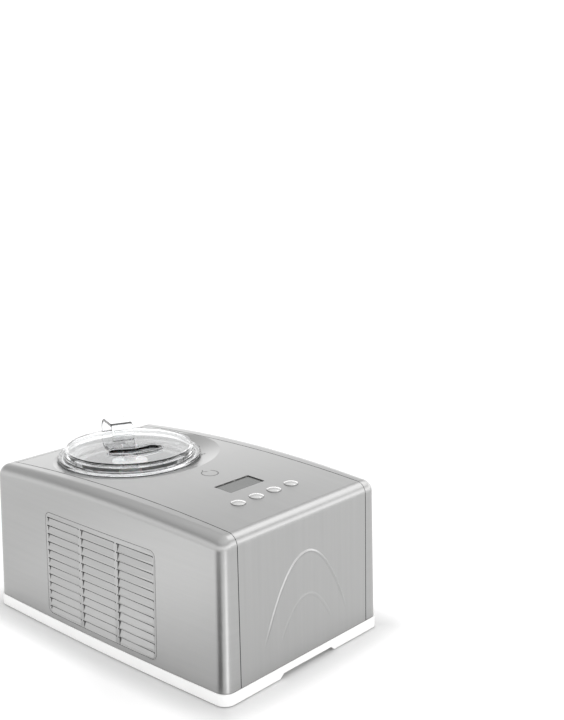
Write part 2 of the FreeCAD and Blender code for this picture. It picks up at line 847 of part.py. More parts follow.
def make_bowl():
    rim = cylinder(bowl_rim_radius, ledge_two, rim_top, 0, well_y)
    shell = bowl_wire(0.0, rim_top).fuse(rim).cut(bowl_wire(bowl_wall, rim_top)).removeSplitter()
    edges = [e for e in shell.Edges if e.BoundBox.XLength > 2 * bowl_rim_radius - bowl_rim and e.Closed]
    shell = shell.makeFillet(bowl_rim_edge, edges)
    shell = shell.cut(cylinder(tube_spigot, bowl_bottom, rim_top, 0, well_y))

    floor = bowl_bottom + bowl_wall
    pillar = cylinder(tube_radius, floor, tube_top, 0, well_y)
    pillar = fused([pillar, cylinder(tube_spigot, bowl_bottom, floor, 0, well_y)])
    pillar = pillar.cut(cylinder(shaft_radius + tube_bore_gap, bowl_bottom, tube_top, 0, well_y))

    ear_outer = bowl_rim_radius + ear_thickness
    band = ring(ear_outer, bowl_rim_radius, ledge_two + ear_gap, bail_z + ear_top, 0, well_y)
    half = ear_outer * math.sin(math.radians(ear_half_angle))
    hole = rod_x(bail_wire + run_gap, -far, far, well_y, bail_z)
    band = band.cut(hole)
    across = (well_y - half, well_y + half, 0, far)
    sides = [box(0, far, *across), box(-far, 0, *across)]
    ears = [turned(band.common(side), bail_angle, 0, well_y) for side in sides]
    return {"bowl_shell": shell, "bowl_tube": pillar, "bail_ears": Part.makeCompound(ears)}


def make_bail():
    """A wire bow that lies flat on the rim's back half, with its ends through the ears."""
    bow = Part.makeTorus(bail_radius, bail_wire, Vector(0, well_y, bail_z))
    bow = bow.common(box(-far, far, well_y, far, 0, far))
    parts = [bow]
    ear_outer = bowl_rim_radius + ear_thickness + ear_gap
    for side in (-1, 1):
        joint = Part.makeSphere(bail_wire, Vector(side * bail_radius, well_y, bail_z))
        ends = sorted((side * bail_radius, side * ear_outer))
        knob = sorted((side * ear_outer, side * (ear_outer + bail_knob_length)))
        parts += [joint, rod_x(bail_wire, *ends, well_y, bail_z), rod_x(bail_knob, *knob, well_y, bail_z)]
    return {"bail": turned(fused(parts), bail_angle, 0, well_y)}


stem_low = bowl_bottom + bowl_wall + stem_floor_gap
stem_high = shaft_top + stem_head
cap_low = stem_high + thrust_gap
knob_top = cap_low + cap_disc + cap_cone + knob_height


def paddle_side(side):
    """One arm pair with its blade and scoop, along +X or -X before it is turned."""
    blade_low = stem_low + blade_foot
    blade_high = blade_low + blade_height
    half = blade_width / 2
    lean = math.radians(blade_turn)
    reach = math.sqrt(paddle_reach ** 2 - (half * math.sin(lean)) ** 2) - half * math.cos(lean)
    reach -= blade_thickness / 2
    blade = rounded_box((-half, half, -blade_thickness / 2, blade_thickness / 2, blade_low, blade_high),
                        blade_edge, Vector(0, 0, 1))
    blade = turned(blade, blade_turn).translated(Vector(reach, 0, 0))
    arm = box(0, reach, -arm_thickness / 2, arm_thickness / 2, blade_high - arm_height, blade_high)
    low_arm = box(0, reach, -arm_thickness / 2, arm_thickness / 2, stem_low, stem_low + arm_height)
    inner = stem_radius + arm_height
    outline = [Vector(inner, 0, stem_low), Vector(inner + scoop_height, -scoop_depth, stem_low)]
    outline += [Vector(reach, -scoop_depth, stem_low), Vector(reach, 0, stem_low)]
    ramp = extrude(outline, Vector(0, 0, scoop_height))
    tip = -scoop_depth - arm_thickness
    scoop_top = stem_low + scoop_height
    tilt = [Vector(0, tip, stem_low), Vector(0, 0, scoop_top - arm_thickness)]
    tilt += [Vector(0, 0, scoop_top), Vector(0, tip, stem_low + arm_thickness)]
    ramp = ramp.common(extrude(tilt, Vector(far, 0, 0)))
    half_frame = fused([blade, arm, low_arm, ramp])
    within = cylinder(paddle_reach, stem_low, stem_high).common(box(0, far, -far, far, 0, far))
    half_frame = half_frame.common(within)
    return half_frame if side > 0 else mirrored(half_frame)


def make_paddle():
    stem = cylinder(stem_radius, stem_low, stem_high - neck_height)
    stem = stem.fuse(cylinder(neck_radius, stem_low, stem_high))
    low = stem_low + fin_low
    high = low + fin_length
    fin = [Vector(0, 0, low), Vector(stem_radius, 0, low)]
    fin += [Vector(stem_radius + fin_reach, 0, high), Vector(0, 0, high)]
    plate = extrude(fin, Vector(0, fin_thickness, 0)).translated(Vector(0, -fin_thickness / 2, 0))
    plate = turned(plate, fin_angle)
    body = fused([stem, paddle_side(1), paddle_side(-1), plate])
    bore = cylinder(tube_radius + stem_bore_gap, stem_low, tube_top + loose_gap)
    half = shaft_square / 2 + fit_gap
    socket = box(-half, half, -half, half, stem_low, shaft_top + fit_gap)
    entry = cylinder(shaft_radius + tube_bore_gap, stem_low, shaft_top - shaft_square_length + fit_gap)
    body = body.cut([bore, socket, entry])
    paddle = turned(body, paddle_angle).translated(Vector(0, well_y, 0))

    skirt = ring(stem_radius, neck_radius + run_gap, stem_high - neck_height + thrust_gap, cap_low)
    disc = cylinder(cap_radius, cap_low, cap_low + cap_disc)
    cone_low = Vector(0, 0, cap_low + cap_disc)
    cone = Part.makeCone(cap_radius - knob_edge, knob_radius + knob_edge, cap_cone, cone_low)
    knob = cylinder(knob_radius, cap_low, knob_top)
    crown = [e for e in knob.Edges if e.BoundBox.ZMin > cap_low + cap_disc]
    knob = knob.makeFillet(knob_edge, crown)
    cap = fused([skirt, disc, cone, knob]).translated(Vector(0, well_y, 0))
    return {"paddle": paddle, "stem_cap": cap}


lid_low = collar_top + fit_gap
plateau = collar_top + lid_height


def fill_shape(half_breadth, z0, z1):
    """A kidney: part of a ring with round ends, hollow side towards the lid's middle."""
    band = ring(fill_arc + half_breadth, fill_arc - half_breadth, z0, z1)
    lean = math.radians(fill_half_angle)
    wedge = [Vector(0, 0, z0), Vector(far * math.cos(lean), -far * math.sin(lean), z0)]
    wedge += [Vector(2 * far, 0, z0), Vector(far * math.cos(lean), far * math.sin(lean), z0)]
    band = band.common(extrude(wedge, Vector(0, 0, z1 - z0)))
    ends = []
    for side in (-1, 1):
        x = fill_arc * math.cos(lean)
        y = side * fill_arc * math.sin(lean)
        ends.append(cylinder(half_breadth, z0, z1, x, y))
    kidney = fused([band] + ends).translated(Vector(fill_place - fill_arc, 0, 0))
    return turned(kidney, handle_angle + 180)


def make_lid():
    under = plateau - lid_wall
    hub_in = knob_radius + fit_gap
    hub_low = cap_low + cap_disc + cap_cone + loose_gap
    skirt_out = collar_radius - collar_wall - loose_gap
    skirt_in = skirt_out - lid_skirt_wall
    rim_high = lid_low + lid_rim
    hub_out = hub_in + hub_wall
    profile = [(0, under), (hub_in, under), (hub_in, hub_low), (hub_out, hub_low), (hub_out, under)]
    profile += [(skirt_in - lid_bevel, under), (skirt_in, under - lid_bevel), (skirt_in, lid_low - lid_skirt)]
    profile += [(skirt_out, lid_low - lid_skirt), (skirt_out, lid_low), (lid_radius - lid_edge, lid_low)]
    profile += [(lid_radius, lid_low + lid_edge), (lid_radius, rim_high - lid_edge)]
    profile += [(lid_radius - lid_edge, rim_high)]
    profile += [(lid_plateau_radius + lid_edge, rim_high), (lid_plateau_radius, rim_high + lid_edge)]
    profile += [(lid_plateau_radius - lid_edge, plateau - lid_bevel)]
    profile += [(lid_plateau_radius - lid_bevel, plateau), (0, plateau)]
    body = revolve(profile)
    lugs = []
    for index in range(lid_lugs):
        lug = box(0, far, -lug_width / 2, lug_width / 2,
                  lid_low - lid_skirt - lug_reach, lid_low - lid_skirt)
        lug = lug.common(ring(skirt_out, skirt_in, lid_low - lid_skirt - lug_reach, lid_low - lid_skirt))
        lugs.append(turned(lug, handle_angle + 360.0 * index / lid_lugs))
    lip = fill_shape(fill_half_width + fill_lip, under - fill_lip_rise, plateau + fill_lip_rise)
    body = fused([body, lip] + lugs).cut(fill_shape(fill_half_width, under - lid_wall - fill_lip_rise,
                                                    plateau + lid_wall + fill_lip_rise))
    high = plateau + handle_rise
    half = handle_width / 2
    arch = rounded_box((handle_start, handle_end, -half, half, plateau - handle_round, high),
                       handle_round, Vector(0, 1, 0))
    hollow = rounded_box((handle_start + handle_thickness, handle_end - handle_thickness, -half, half,
                          plateau - handle_round, high - handle_thickness),
                         handle_round - handle_thickness, Vector(0, 1, 0))
    arch = arch.cut(hollow).common(box(-far, far, -far, far, plateau, far))
    edges = [e for e in arch.Edges
             if e.BoundBox.YLength < handle_edge and e.BoundBox.ZMax > plateau + handle_edge]
    arch = arch.makeFillet(handle_edge, edges)
    place = Vector(0, well_y, 0)
    return {"lid": body.translated(place), "lid_handle": turned(arch, handle_angle).translated(place)}


def make_panel():
    """Display, buttons, switches and the board that hangs from the top sheet."""
    pieces = {}
    surface = top_at(button_y)
    board_top = surface - board_drop
    board_front = button_y - board_front_margin
    board_back = window_y + board_back_margin
    upper = housing_form(window_sunk, base_height)
    lower = housing_form(window_sunk + window_thickness, base_height)
    pieces["display_window"] = upper.cut(lower).common(window_tool(0.0, board_top, far))
    under = housing_form(window_sunk + window_thickness + run_gap, base_height)
    pieces["display_module"] = under.common(window_tool(module_margin - window_gap, board_top, far))
    pieces["display_module"] = pieces["display_module"].common(housing_form(sheet + fit_gap, base_height))

    board_low = board_top - board_thickness
    pieces["control_board"] = box(-board_half, board_half, board_front, board_back, board_low, board_top)
    below_sheet = housing_form(sheet + bracket_gap, base_height)
    posts = []
    for x in (-board_half + post_inset, board_half - post_inset):
        for y in (board_front + post_inset, board_back - post_inset):
            posts.append(cylinder(post_radius, board_top, crown_height, x, y).common(below_sheet))
    pieces["board_posts"] = Part.makeCompound(posts)

    switches = []
    stem_end = board_top + switch_height + button_travel + button_slack
    flange_low = surface - button_flange_drop
    for index in range(button_count):
        x = button_x(index)
        half = switch_side / 2
        switches.append(box(x - half, x + half, button_y - half, button_y + half,
                            board_top, board_top + switch_height))
        shoulder = surface + button_proud
        body = cylinder(button_radius, flange_low, shoulder, x, button_y)
        ball_radius = (button_radius ** 2 + button_dome ** 2) / (2 * button_dome)
        ball = Part.makeSphere(ball_radius, Vector(x, button_y, shoulder + button_dome - ball_radius))
        dome = ball.common(cylinder(button_radius, shoulder, shoulder + 2 * button_dome, x, button_y))
        flange_high = flange_low + button_flange_sheet
        flange = cylinder(button_radius + button_flange, flange_low, flange_high, x, button_y)
        stem = cylinder(button_stem, stem_end, flange_low, x, button_y)
        pieces["button_%d" % (index + 1)] = fused([body, dome, flange, stem])
    pieces["button_switches"] = Part.makeCompound(switches)
    return pieces


compressor_x = width / 2 - compressor_side
compressor_y = gearbox_front - compressor_gap - compressor_plate_side / 2
plate_low = deck_top + grommet_height
compressor_low = plate_low + compressor_plate_sheet
compressor_high = compressor_low + compressor_height
line_high = compressor_high + line_rise
capillary_z = line_high - line_step
suction_z = compressor_high - compressor_dome - suction_drop
line_front = line_setback - length / 2


def make_compressor():
    radius = compressor_radius
    bevel = compressor_dome / 2
    profile = [(0, compressor_low), (radius - bevel, compressor_low), (radius, compressor_low + bevel)]
    profile += [(radius, compressor_high - compressor_dome), (radius - bevel, compressor_high - bevel / 2)]
    profile += [(compressor_cap_radius, compressor_high), (0, compressor_high)]
    can = revolve(profile, compressor_x, compressor_y)
    side = compressor_plate_side / 2
    plate = rounded_box((compressor_x - side, compressor_x + side, compressor_y - side, compressor_y + side,
                         plate_low, compressor_low), grommet_radius, Vector(0, 0, 1))
    grommets = []
    reach = side - grommet_inset
    for x in (compressor_x - reach, compressor_x + reach):
        for y in (compressor_y - reach, compressor_y + reach):
            grommets.append(cylinder(grommet_radius, deck_top, plate_low, x, y))
    half = terminal_width / 2
    front = compressor_y - radius - terminal_depth
    cover = box(compressor_x - half, compressor_x + half, front, compressor_y,
                terminal_low, terminal_low + terminal_height)
    cover = cover.cut(cylinder(radius + bracket_gap, 0, far, compressor_x, compressor_y))
    return {
        "compressor": can,
        "compressor_plate": plate,
        "compressor_grommets": Part.makeCompound(grommets),
        "compressor_terminal_cover": cover,
    }


condenser_x = condenser_side - width / 2


def pass_z(index):
    return pass_low + index * pass_pitch


def make_condenser():
    half = condenser_depth / 2
    span = condenser_back - condenser_front - fin_sheet
    passes = [rod_y(pass_radius, -far, far, condenser_x, pass_z(index)) for index in range(pass_count)]
    fins = []
    for index in range(fin_count):
        y = condenser_front + span * index / (fin_count - 1)
        end_plate = index in (0, fin_count - 1)
        low = deck_top if end_plate else condenser_low
        fin = box(condenser_x - half, condenser_x + half, y, y + fin_sheet, low, condenser_high)
        fins.append(fin.cut(passes))
    parts = []
    bend = pass_pitch / 2
    near = condenser_front - fin_sheet
    away = condenser_back + fin_sheet
    last = pass_count - 1
    for index in range(pass_count):
        start = near - pass_stub if index in (0, last) else near
        parts.append(rod_y(pass_radius, start, away, condenser_x, pass_z(index)))
    for index in range(last):
        at_back = index % 2 == 0
        y = away if at_back else near
        middle = Vector(condenser_x, y, pass_z(index) + bend)
        turn = Part.makeTorus(bend, pass_radius, middle, Vector(1, 0, 0))
        zone = box(-far, far, y, y + far, 0, far) if at_back else box(-far, far, y - far, y, 0, far)
        parts.append(turn.common(zone))
    return {"condenser_fins": Part.makeCompound(fins), "condenser_tube": fused(parts)}


fan_outer = condenser_x + condenser_depth / 2 + fan_gap
fan_y = (condenser_front + condenser_back) / 2


def make_fan():
    inner = fan_outer + fan_frame_depth
    side = fan_radius + fan_tip_gap + fan_frame_margin
    frame = box(fan_outer, inner, fan_y - side, fan_y + side, deck_top, fan_z + side)
    frame = frame.cut(rod_x(fan_radius + fan_tip_gap, fan_outer, inner, fan_y, fan_z))
    half = fan_strut / 2
    strut_x = inner - fan_strut
    struts = [box(strut_x, inner, fan_y - side, fan_y + side, fan_z - half, fan_z + half),
              box(strut_x, inner, fan_y - half, fan_y + half, fan_z - side, fan_z + side)]
    frame = fused([frame] + struts)
    motor_back = inner + fan_motor_depth
    frame = frame.cut(rod_x(fan_motor_radius, strut_x, motor_back, fan_y, fan_z))
    hub_inner = strut_x - fit_gap
    hub_outer = hub_inner - fan_hub_depth
    pin_end = hub_outer + fan_cap
    motor = rod_x(fan_motor_radius, strut_x, motor_back, fan_y, fan_z)
    motor = fused([motor, rod_x(fan_shaft_radius, pin_end, strut_x, fan_y, fan_z)])

    hub = rod_x(fan_hub_radius, hub_outer, hub_inner, fan_y, fan_z)
    hub = hub.cut(rod_x(fan_shaft_radius + run_gap, pin_end - fit_gap, hub_inner, fan_y, fan_z))
    parts = [hub]
    middle = (hub_outer + hub_inner) / 2
    for index in range(fan_blades):
        blade = box(-fan_chord / 2, fan_chord / 2, -fan_blade_sheet / 2, fan_blade_sheet / 2,
                    fan_hub_radius - fan_blade_sheet, fan_radius)
        blade.rotate(Vector(0, 0, 0), Vector(0, 0, 1), fan_pitch)
        blade = blade.translated(Vector(middle, fan_y, fan_z))
        blade.rotate(Vector(middle, fan_y, fan_z), Vector(1, 0, 0), 360.0 * index / fan_blades)
        parts.append(blade)
    return {"fan_shroud": frame, "fan_motor": motor, "fan_rotor": fused(parts)}


def make_lines():
    """Refrigerant lines: compressor, condenser, drier, capillary, jacket and back."""
    port_y = condenser_front - fin_sheet - pass_stub - line_gap
    top_pass = pass_z(pass_count - 1)
    low_pass = pass_z(0)
    port_x = compressor_x - line_bend
    corner_y = (line_front + port_y) / 2
    discharge = tube([(port_x, compressor_y, compressor_high + line_gap), (port_x, compressor_y, line_high),
                      (port_x, corner_y, line_high), (condenser_x, corner_y, line_high),
                      (condenser_x, corner_y, top_pass), (condenser_x, port_y, top_pass)], discharge_radius)
    liquid = tube([(condenser_x, port_y, low_pass), (condenser_x, line_front, low_pass),
                   (drier_x, line_front, low_pass), (drier_x, line_front, drier_low - line_gap)],
                  liquid_radius)
    drier_high = drier_low + drier_length
    profile = [(0, drier_low), (liquid_radius + line_gap, drier_low), (drier_radius, drier_low + drier_taper)]
    profile += [(drier_radius, drier_high - drier_taper), (liquid_radius, drier_high), (0, drier_high)]
    drier = revolve(profile, drier_x, line_front)
    sleeve = well_radius + well_wall + jacket_gap + jacket_wall + jacket_channel_radius
    reach = math.sqrt(sleeve ** 2 - (line_offset - suction_radius) ** 2)
    jacket_y = well_y - reach - line_gap
    corner_y = idler_y - foam_radius
    capillary = tube([(drier_x, line_front, drier_high + line_gap), (drier_x, line_front, capillary_z),
                      (drier_x, corner_y, capillary_z), (-line_offset, corner_y, capillary_z),
                      (-line_offset, jacket_y, capillary_z)], capillary_radius)
    suction = tube([(line_offset, jacket_y, suction_z), (line_offset, pinion_y, suction_z),
                    (compressor_x, pinion_y, suction_z),
                    (compressor_x, compressor_y + compressor_radius + line_gap, suction_z)], suction_radius)
    return {
        "discharge_tube": discharge,
        "liquid_tube": liquid,
        "filter_drier": drier,
        "capillary_tube": capillary,
        "suction_tube": suction,
    }


def make_power():
    x1 = compressor_x - compressor_plate_side / 2 - power_gap
    x0 = x1 - power_width
    y0 = power_setback - length / 2 - power_length / 2
    y1 = y0 + power_length
    board_low = deck_top + power_lift
    board_high = board_low + board_thickness
    standoffs = []
    for x in (x0 + power_margin, x1 - power_margin):
        for y in (y0 + power_margin, y1 - power_margin):
            standoffs.append(cylinder(standoff_radius, deck_top, board_low, x, y))
    block_y = y0 + power_margin
    block_x = x0 + power_margin
    transformer = box(block_x, block_x + transformer_side, block_y, block_y + transformer_side,
                      board_high, board_high + transformer_height)
    relay_y = y1 - power_margin - relay_length
    relay = box(block_x, block_x + relay_width, relay_y, relay_y + relay_length,
                board_high, board_high + relay_height)
    column_x = x1 - power_margin - capacitor_radius
    capacitors = []
    for y in (block_y + capacitor_radius, relay_y + capacitor_radius):
        capacitors.append(cylinder(capacitor_radius, board_high, board_high + capacitor_height, column_x, y))
    return {
        "power_board": box(x0, x1, y0, y1, board_low, board_high),
        "power_components": Part.makeCompound([transformer, relay] + capacitors),
        "board_standoffs": Part.makeCompound(standoffs),
    }


def make_inlet():
    face = half_length(inlet_z - inlet_height / 2 - inlet_flange)
    half_x = inlet_width / 2
    half_z = inlet_height / 2
    back = face + inlet_flange_sheet
    axis = Vector(0, 1, 0)
    body = rounded_box((inlet_x - half_x, inlet_x + half_x, back - inlet_depth, back,
                        inlet_z - half_z, inlet_z + half_z), inlet_corner, axis)
    flange = rounded_box((inlet_x - half_x - inlet_flange, inlet_x + half_x + inlet_flange, face, back,
                          inlet_z - half_z - inlet_flange / 2, inlet_z + half_z + inlet_flange / 2),
                         inlet_corner, axis)
    bore_x = half_x - inlet_wall
    bore_z = half_z - inlet_wall
    floor = back - inlet_socket
    socket = rounded_box((inlet_x - bore_x, inlet_x + bore_x, floor, back,
                          inlet_z - bore_z, inlet_z + bore_z), inlet_corner - inlet_wall, axis)
    pins = []
    for index in (-1, 0, 1):
        x = inlet_x + index * pin_pitch
        z = inlet_z + (pin_rise if index == 0 else -pin_rise)
        pins.append(box(x - pin_width / 2, x + pin_width / 2, floor, floor + pin_length,
                        z - pin_height / 2, z + pin_height / 2))
    return {"mains_inlet": fused([body, flange]).cut(socket), "inlet_pins": Part.makeCompound(pins)}


def main():
    pieces = {}
    for make in (make_base, make_shells, make_well, make_drive, make_bowl, make_bail, make_paddle, make_lid,
                 make_panel, make_compressor, make_condenser, make_fan, make_lines, make_power, make_inlet):
        pieces.update(make())
    os.makedirs("parts", exist_ok=True)
    for name, shape in pieces.items():
        shape.exportStep("parts/%s.step" % name)


main()
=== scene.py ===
"""Looks of the self-cooling ice cream maker, in metres.

The solids come from the frame. This script gives them materials, adds the thin trim and the marks
that the photograph shows, and sets the floor, the light and the camera.
"""

import json
import math

import bmesh
import bpy
from mathutils import Matrix, Vector
from mathutils.bvhtree import BVHTree


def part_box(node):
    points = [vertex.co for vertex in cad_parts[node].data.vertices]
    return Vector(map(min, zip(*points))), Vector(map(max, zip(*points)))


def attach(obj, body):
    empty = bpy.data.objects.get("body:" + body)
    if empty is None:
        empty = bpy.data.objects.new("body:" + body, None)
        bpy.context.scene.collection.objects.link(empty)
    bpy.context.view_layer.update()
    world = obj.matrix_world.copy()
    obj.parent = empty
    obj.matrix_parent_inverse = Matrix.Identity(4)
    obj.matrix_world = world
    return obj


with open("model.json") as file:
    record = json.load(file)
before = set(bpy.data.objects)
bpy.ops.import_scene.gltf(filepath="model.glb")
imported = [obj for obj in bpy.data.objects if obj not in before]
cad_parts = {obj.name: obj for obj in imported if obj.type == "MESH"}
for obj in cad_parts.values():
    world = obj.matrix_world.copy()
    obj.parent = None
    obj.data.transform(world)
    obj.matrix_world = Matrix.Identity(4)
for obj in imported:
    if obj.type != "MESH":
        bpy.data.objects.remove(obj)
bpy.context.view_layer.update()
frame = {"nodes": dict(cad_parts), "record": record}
nodes = frame["nodes"]


# ---- Materials


def grey(value):
    return (value,) * 3


def tone(colour, factor):
    return tuple(min(1.0, channel * factor) for channel in colour)


def even(scale):
    """Noise scales of grain that is the same in every direction."""
    return (scale,) * 3


def stretched(axes, fast, slow):
    """Noise scales of lines: many bumps per metre along the named axes, few along the others."""
    return tuple(fast if axis in axes else slow for axis in "XYZ")


class Graph:
    """A node tree, and the coordinates that its textures use."""

    def __init__(self, tree, coordinates):
        self.tree = tree
        self.place = self.add("ShaderNodeTexCoord").outputs[coordinates]

    def add(self, kind, **settings):
        node = self.tree.nodes.new(kind)
        for key, value in settings.items():
            setattr(node, key, value)
        return node

    def link(self, source, target):
        self.tree.links.new(source, target)

    def noise(self, scale, detail=2.0, offset=0.0):
        """Noise from 0 to 1, with its own number of bumps per metre along each axis.

        Noises of one material have different offsets, so that they don't follow each other."""
        mapping = self.add("ShaderNodeMapping")
        mapping.inputs["Scale"].default_value = scale
        mapping.inputs["Location"].default_value = (offset, offset, offset)
        texture = self.add("ShaderNodeTexNoise")
        texture.inputs["Scale"].default_value = 1.0
        texture.inputs["Detail"].default_value = detail
        self.link(self.place, mapping.inputs["Vector"])
        self.link(mapping.outputs["Vector"], texture.inputs["Vector"])
        return texture.outputs["Fac"]

    def spread(self, value, low, high, start=0.3, end=0.7):
        """The value's range from start to end, stretched from low to high."""
        node = self.add("ShaderNodeMapRange")
        self.link(value, node.inputs["Value"])
        limits = {"From Min": start, "From Max": end, "To Min": low, "To Max": high}
        for socket, number in limits.items():
            node.inputs[socket].default_value = number
        return node.outputs["Result"]

    def math(self, operation, first, second=0.0):
        node = self.add("ShaderNodeMath", operation=operation)
        for socket, value in zip(node.inputs, (first, second)):
            if isinstance(value, (int, float)):
                socket.default_value = value
            else:
                self.link(value, socket)
        return node.outputs["Value"]

    def mix(self, first, second, share):
        """The share of the first value, and the rest of the second."""
        return self.math("ADD", self.math("MULTIPLY", first, share),
                         self.math("MULTIPLY", second, 1.0 - share))

    def margin(self, value, low, high):
        """How far inside the range from low to high the value lies."""
        offset = self.math("SUBTRACT", value, (low + high) / 2.0)
        return self.math("SUBTRACT", (high - low) / 2.0, self.math("ABSOLUTE", offset))

    def vector(self, operation, first, second=(0.0, 0.0, 0.0), output="Vector"):
        node = self.add("ShaderNodeVectorMath", operation=operation)
        self.link(first, node.inputs[0])
        node.inputs[1].default_value = second
        return node.outputs[output]

    def axis(self, name, vector=None):
        """One coordinate of a vector, or else of the place itself."""
        node = self.add("ShaderNodeSeparateXYZ")
        self.link(self.place if vector is None else vector, node.inputs["Vector"])
        return node.outputs[name]

    def ramp(self, value, stops):
        """Colour along the value, from (position, colour) stops."""
        node = self.add("ShaderNodeValToRGB")
        elements = node.color_ramp.elements
        while len(elements) < len(stops):
            elements.new(1.0)
        for element, (position, colour) in zip(elements, stops):
            element.position = position
            element.color = (*colour, 1.0)
        self.link(value, node.inputs["Fac"])
        return node.outputs["Color"]


class Look(Graph):
    """One procedural material: a Principled shader, and what varies colour, gloss and relief."""

    def __init__(self, name, **sockets):
        self.material = bpy.data.materials.new(name)
        self.material.use_nodes = True
        super().__init__(self.material.node_tree, "Object")
        self.shader = self.tree.nodes["Principled BSDF"]
        for socket, value in sockets.items():
            self.shader.inputs[socket.replace("_", " ")].default_value = value

    def drive(self, socket, value):
        self.link(value, self.shader.inputs[socket])

    def vary(self, value, colour, darkest, lightest=1.0):
        """The colour, darker where the value is low and lighter where it is high."""
        return self.ramp(self.spread(value, 0.0, 1.0),
                         [(0.0, tone(colour, darkest)), (1.0, tone(colour, lightest))])

    def shaded(self, colour, reach):
        """The colour with painted shade: darker in seams and slots, where another surface lies
        within reach.
        """
        samples, darkest, closed, free = 8, 0.12, 0.25, 0.85
        shade = self.add("ShaderNodeAmbientOcclusion", samples=samples)
        shade.inputs["Distance"].default_value = reach
        darker = self.add("ShaderNodeVectorMath", operation="SCALE")
        self.link(colour, darker.inputs[0])
        self.link(self.spread(shade.outputs["AO"], darkest, 1.0, closed, free),
                  darker.inputs["Scale"])
        return darker.outputs["Vector"]

    def gloss(self, value, rough, swing):
        """Roughness that swings with the value, by a share of itself to both sides."""
        self.drive("Roughness", self.spread(value, rough * (1.0 - swing), rough * (1.0 + swing)))

    def relief(self, value, depth):
        node = self.add("ShaderNodeBump")
        node.inputs["Strength"].default_value = 1.0
        node.inputs["Distance"].default_value = depth
        self.link(value, node.inputs["Height"])
        self.drive("Normal", node.outputs["Normal"])


def brushed(name, colour, rough, fine, broad, contrast=0.07, painted_shade_reach=0.0):
    """Metal with fine brushing and broad, faint bands, and painted shade in seams and slots within
    reach.
    """
    hair_share, hair_depth = 0.45, 0.0000015
    look = Look(name, Metallic=1.0)
    hair = look.noise(fine, detail=3.0)
    band = look.noise(broad, offset=3.7)
    mixed = look.mix(hair, band, hair_share)
    tint = look.vary(mixed, colour, 1.0 - contrast, 1.0 + contrast)
    # Painted shade: the base colour darkens in seams and slots.
    look.drive("Base Color", look.shaded(tint, painted_shade_reach) if painted_shade_reach else tint)
    look.gloss(mixed, rough, swing=0.08)
    look.relief(hair, hair_depth)
    return look.material


def moulded(name, colour, rough, grain=900.0, depth=0.00001, contrast=0.05, **sockets):
    """Plastic, rubber or paint with a fine moulded grain and a cloudy change of tone."""
    clouds_per_metre = 35.0
    look = Look(name, **sockets)
    cloud = look.noise(even(clouds_per_metre), detail=3.0)
    pores = look.noise(even(grain), offset=1.3)
    look.drive("Base Color", look.vary(cloud, colour, 1.0 - contrast, 1.0 + contrast))
    look.gloss(pores, rough, swing=0.2)
    look.relief(pores, depth)
    return look.material


def clear(name, colour, rough):
    """Clear plastic that lets light through to what it covers."""
    clouds_per_metre, shadow_tint = 60.0, (0.93, 0.94, 0.95, 1.0)
    look = Look(name, Transmission_Weight=1.0, IOR=1.49)
    haze = look.noise(even(clouds_per_metre))
    look.drive("Base Color", look.vary(haze, colour, darkest=0.985))
    look.gloss(haze, rough, swing=0.3)
    passing = look.add("ShaderNodeBsdfTransparent")
    passing.inputs["Color"].default_value = shadow_tint
    either = look.add("ShaderNodeMixShader")
    look.link(look.add("ShaderNodeLightPath").outputs["Is Shadow Ray"], either.inputs["Fac"])
    look.link(look.shader.outputs["BSDF"], either.inputs[1])
    look.link(passing.outputs["BSDF"], either.inputs[2])
    look.link(either.outputs["Shader"], look.tree.nodes["Material Output"].inputs["Surface"])
    return look.material


def milky(name, colour, rough):
    """Translucent white plastic."""
    clouds_per_metre, grain, depth = 50.0, 700.0, 0.000008
    look = Look(name, Subsurface_Weight=0.35, Subsurface_Scale=0.004)
    cloud = look.noise(even(clouds_per_metre), detail=3.0)
    look.drive("Base Color", look.vary(cloud, colour, darkest=0.97))
    look.gloss(cloud, rough, swing=0.15)
    look.relief(look.noise(even(grain), offset=2.1), depth)
    return look.material


def circuit(name):
    """Solder resist with copper tracks just under it."""
    clouds_per_metre, tracks_per_metre = 40.0, 130.0
    track_gap, track_share, track_depth = 0.03, 0.6, 0.00003
    dark_green, light_green = (0.008, 0.06, 0.022), (0.03, 0.17, 0.06)
    look = Look(name, Coat_Weight=0.3)
    tracks = look.add("ShaderNodeTexBrick")
    tracks.inputs["Scale"].default_value = tracks_per_metre
    tracks.inputs["Mortar Size"].default_value = track_gap
    look.link(look.place, tracks.inputs["Vector"])
    cloud = look.noise(even(clouds_per_metre))
    mixed = look.mix(tracks.outputs["Fac"], cloud, track_share)
    look.drive("Base Color", look.ramp(mixed, [(0.0, dark_green), (1.0, light_green)]))
    look.gloss(cloud, rough=0.375, swing=0.2)
    look.relief(tracks.outputs["Fac"], track_depth)
    return look.material


def liquid_crystal(name):
    """Unlit display behind its pane, with painted shade of the window's frame: a dark border, and a
    field darker to the back and right.
    """
    light, middle, dark = (0.15, 0.154, 0.15), (0.085, 0.087, 0.085), (0.02, 0.021, 0.02)
    to_back, to_right, cloudy, clouds_per_metre = 0.3, 0.4, 0.2, 45.0
    border_full, border_end = 0.0016, 0.0022
    low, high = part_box("display_window")
    look = Look(name, Coat_Weight=0.25, Coat_Roughness=0.1, Specular_IOR_Level=0.3)
    x, y = look.axis("X"), look.axis("Y")
    # Painted shade: the field darkens to the back and right.
    slope = look.math("ADD", look.spread(y, 0.0, to_back, low.y, high.y),
                      look.spread(x, 0.0, to_right, low.x, high.x))
    cloud = look.noise(even(clouds_per_metre))
    field = look.math("ADD", slope, look.math("MULTIPLY", cloud, cloudy))
    # Painted shade: a dark border along the window's frame.
    inside = look.math("MINIMUM", look.margin(x, low.x, high.x), look.margin(y, low.y, high.y))
    border = look.spread(inside, 1.0, 0.0, border_full, border_end)
    look.drive("Base Color", look.ramp(look.math("MAXIMUM", field, border),
                                       [(0.0, light), (0.8, middle), (1.0, dark)]))
    look.gloss(cloud, rough=0.2, swing=0.2)
    return look.material


